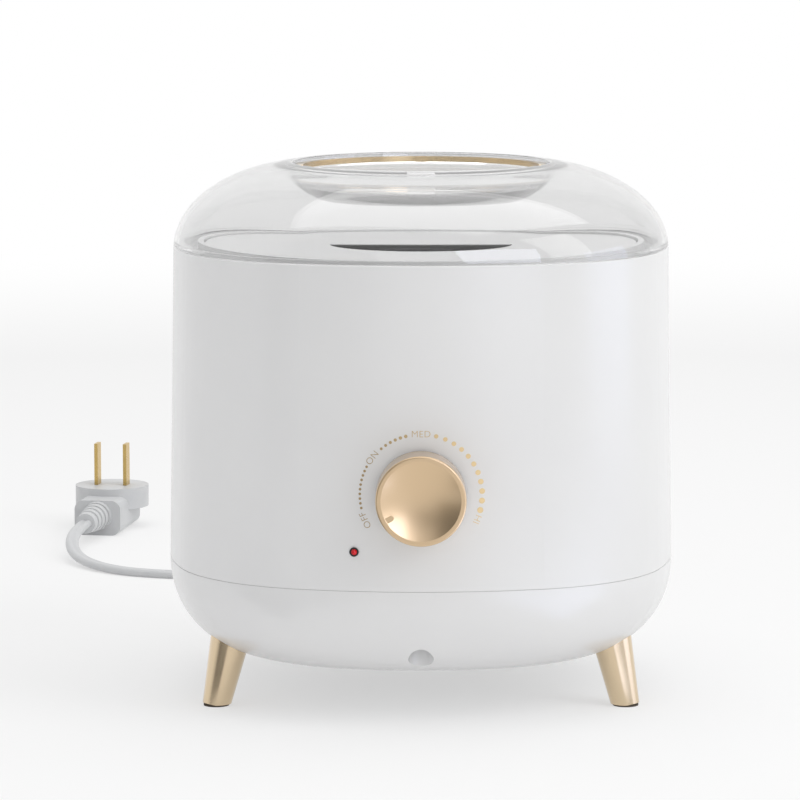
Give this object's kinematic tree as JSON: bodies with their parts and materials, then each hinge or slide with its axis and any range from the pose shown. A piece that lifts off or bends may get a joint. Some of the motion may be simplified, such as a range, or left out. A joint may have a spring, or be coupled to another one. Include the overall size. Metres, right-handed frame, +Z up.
{
  "type": "wax warmer pot",
  "caption": "Countertop wax warmer: squarish round white casing on splayed legs, clear domed lid with folding handle, drip collar, lift-out pot, dial knob and mains cord.",
  "frame": {"origin": "on the casing's upright axis, at the level of the surface that the feet stand on", "axes": "+Z up, -Y towards the dial at the front, +X to the right as seen from the front"},
  "size_m": [0.2379, 0.4701, 0.1844],
  "materials": {
    "white_abs": "moulded satin gloss",
    "clear_lid": "clear moulded plastic",
    "champagne_gold": "satin champagne plating",
    "dark_rubber": "moulded",
    "silicone_red": "silicone sheet",
    "bare_aluminium": "spun",
    "dark_pot_coat": "dark release coat",
    "plated_steel": "zinc plated",
    "glass_fibre": "needled felt",
    "black_plastic": "moulded",
    "brass_contact": "stamped",
    "red_lens": "clear red",
    "board_green": "laminate",
    "white_ceramic": "glazed",
    "pale_grey_pvc": "soft moulded",
    "lead_sleeving": "braided sleeving"
  },
  "bodies": {
    "housing": {"band_screw": "plated_steel", "base_screws": "plated_steel", "base_shell": "white_abs", "chamber_gasket": "silicone_red", "chamber_screws": "plated_steel", "clamp_screws": "plated_steel", "cord_clamp": "black_plastic", "cord_tail": "pale_grey_pvc", "deck_ring": "white_abs", "deck_screws": "plated_steel", "foot_pads": "dark_rubber", "fuse_clip": "plated_steel", "heat_shield": "bare_aluminium", "heater_band": "plated_steel", "heating_chamber": "bare_aluminium", "indicator_lens": "red_lens", "insulation_sleeve": "glass_fibre", "lamp_board": "board_green", "lamp_holder": "black_plastic", "lamp_resistor": "board_green", "leg_front_left": "champagne_gold", "leg_front_right": "champagne_gold", "leg_rear": "champagne_gold", "leg_screws": "plated_steel", "live_lead": "lead_sleeving", "neutral_lead": "lead_sleeving", "plug_body": "pale_grey_pvc", "plug_pins": "brass_contact", "power_cord": "pale_grey_pvc", "shield_standoffs": "plated_steel", "strain_relief": "pale_grey_pvc", "switched_lead": "lead_sleeving", "terminal_block": "white_ceramic", "terminal_screws": "plated_steel", "thermal_fuse": "bare_aluminium", "thermostat_body": "black_plastic", "thermostat_nut": "plated_steel", "thermostat_tabs": "brass_contact", "upper_shell": "white_abs"},
    "dial": {"knob": "champagne_gold", "knob_pointer": "champagne_gold", "knob_clip": "plated_steel", "thermostat_shaft": "plated_steel"},
    "pot": {"inner_pot": "dark_pot_coat"},
    "collar": {"drip_collar": "white_abs"},
    "lid": {"lid_cover": "clear_lid"},
    "handle": {"lid_handle": "champagne_gold", "handle_pins": "champagne_gold"}
  },
  "joints": [
    {"name": "dial_turn", "type": "hinge", "parent": "housing", "child": "dial", "pos_m": [0, -0.095, 0.08], "axis": [0, 1, 0], "range_deg": [0, 230]},
    {"name": "pot_lift", "type": "slide", "parent": "housing", "child": "pot", "axis": [0, 0, 1], "range_m": [0, 0.09]},
    {"name": "collar_lift", "type": "slide", "parent": "pot", "child": "collar", "axis": [0, 0, 1], "range_m": [0, 0.06]},
    {"name": "lid_lift", "type": "slide", "parent": "collar", "child": "lid", "axis": [0, 0, 1], "range_m": [0, 0.1]},
    {"name": "handle_fold", "type": "hinge", "parent": "lid", "child": "handle", "pos_m": [0, 0, 0.18215], "axis": [1, 0, 0], "range_deg": [0, 90]}
  ]
}
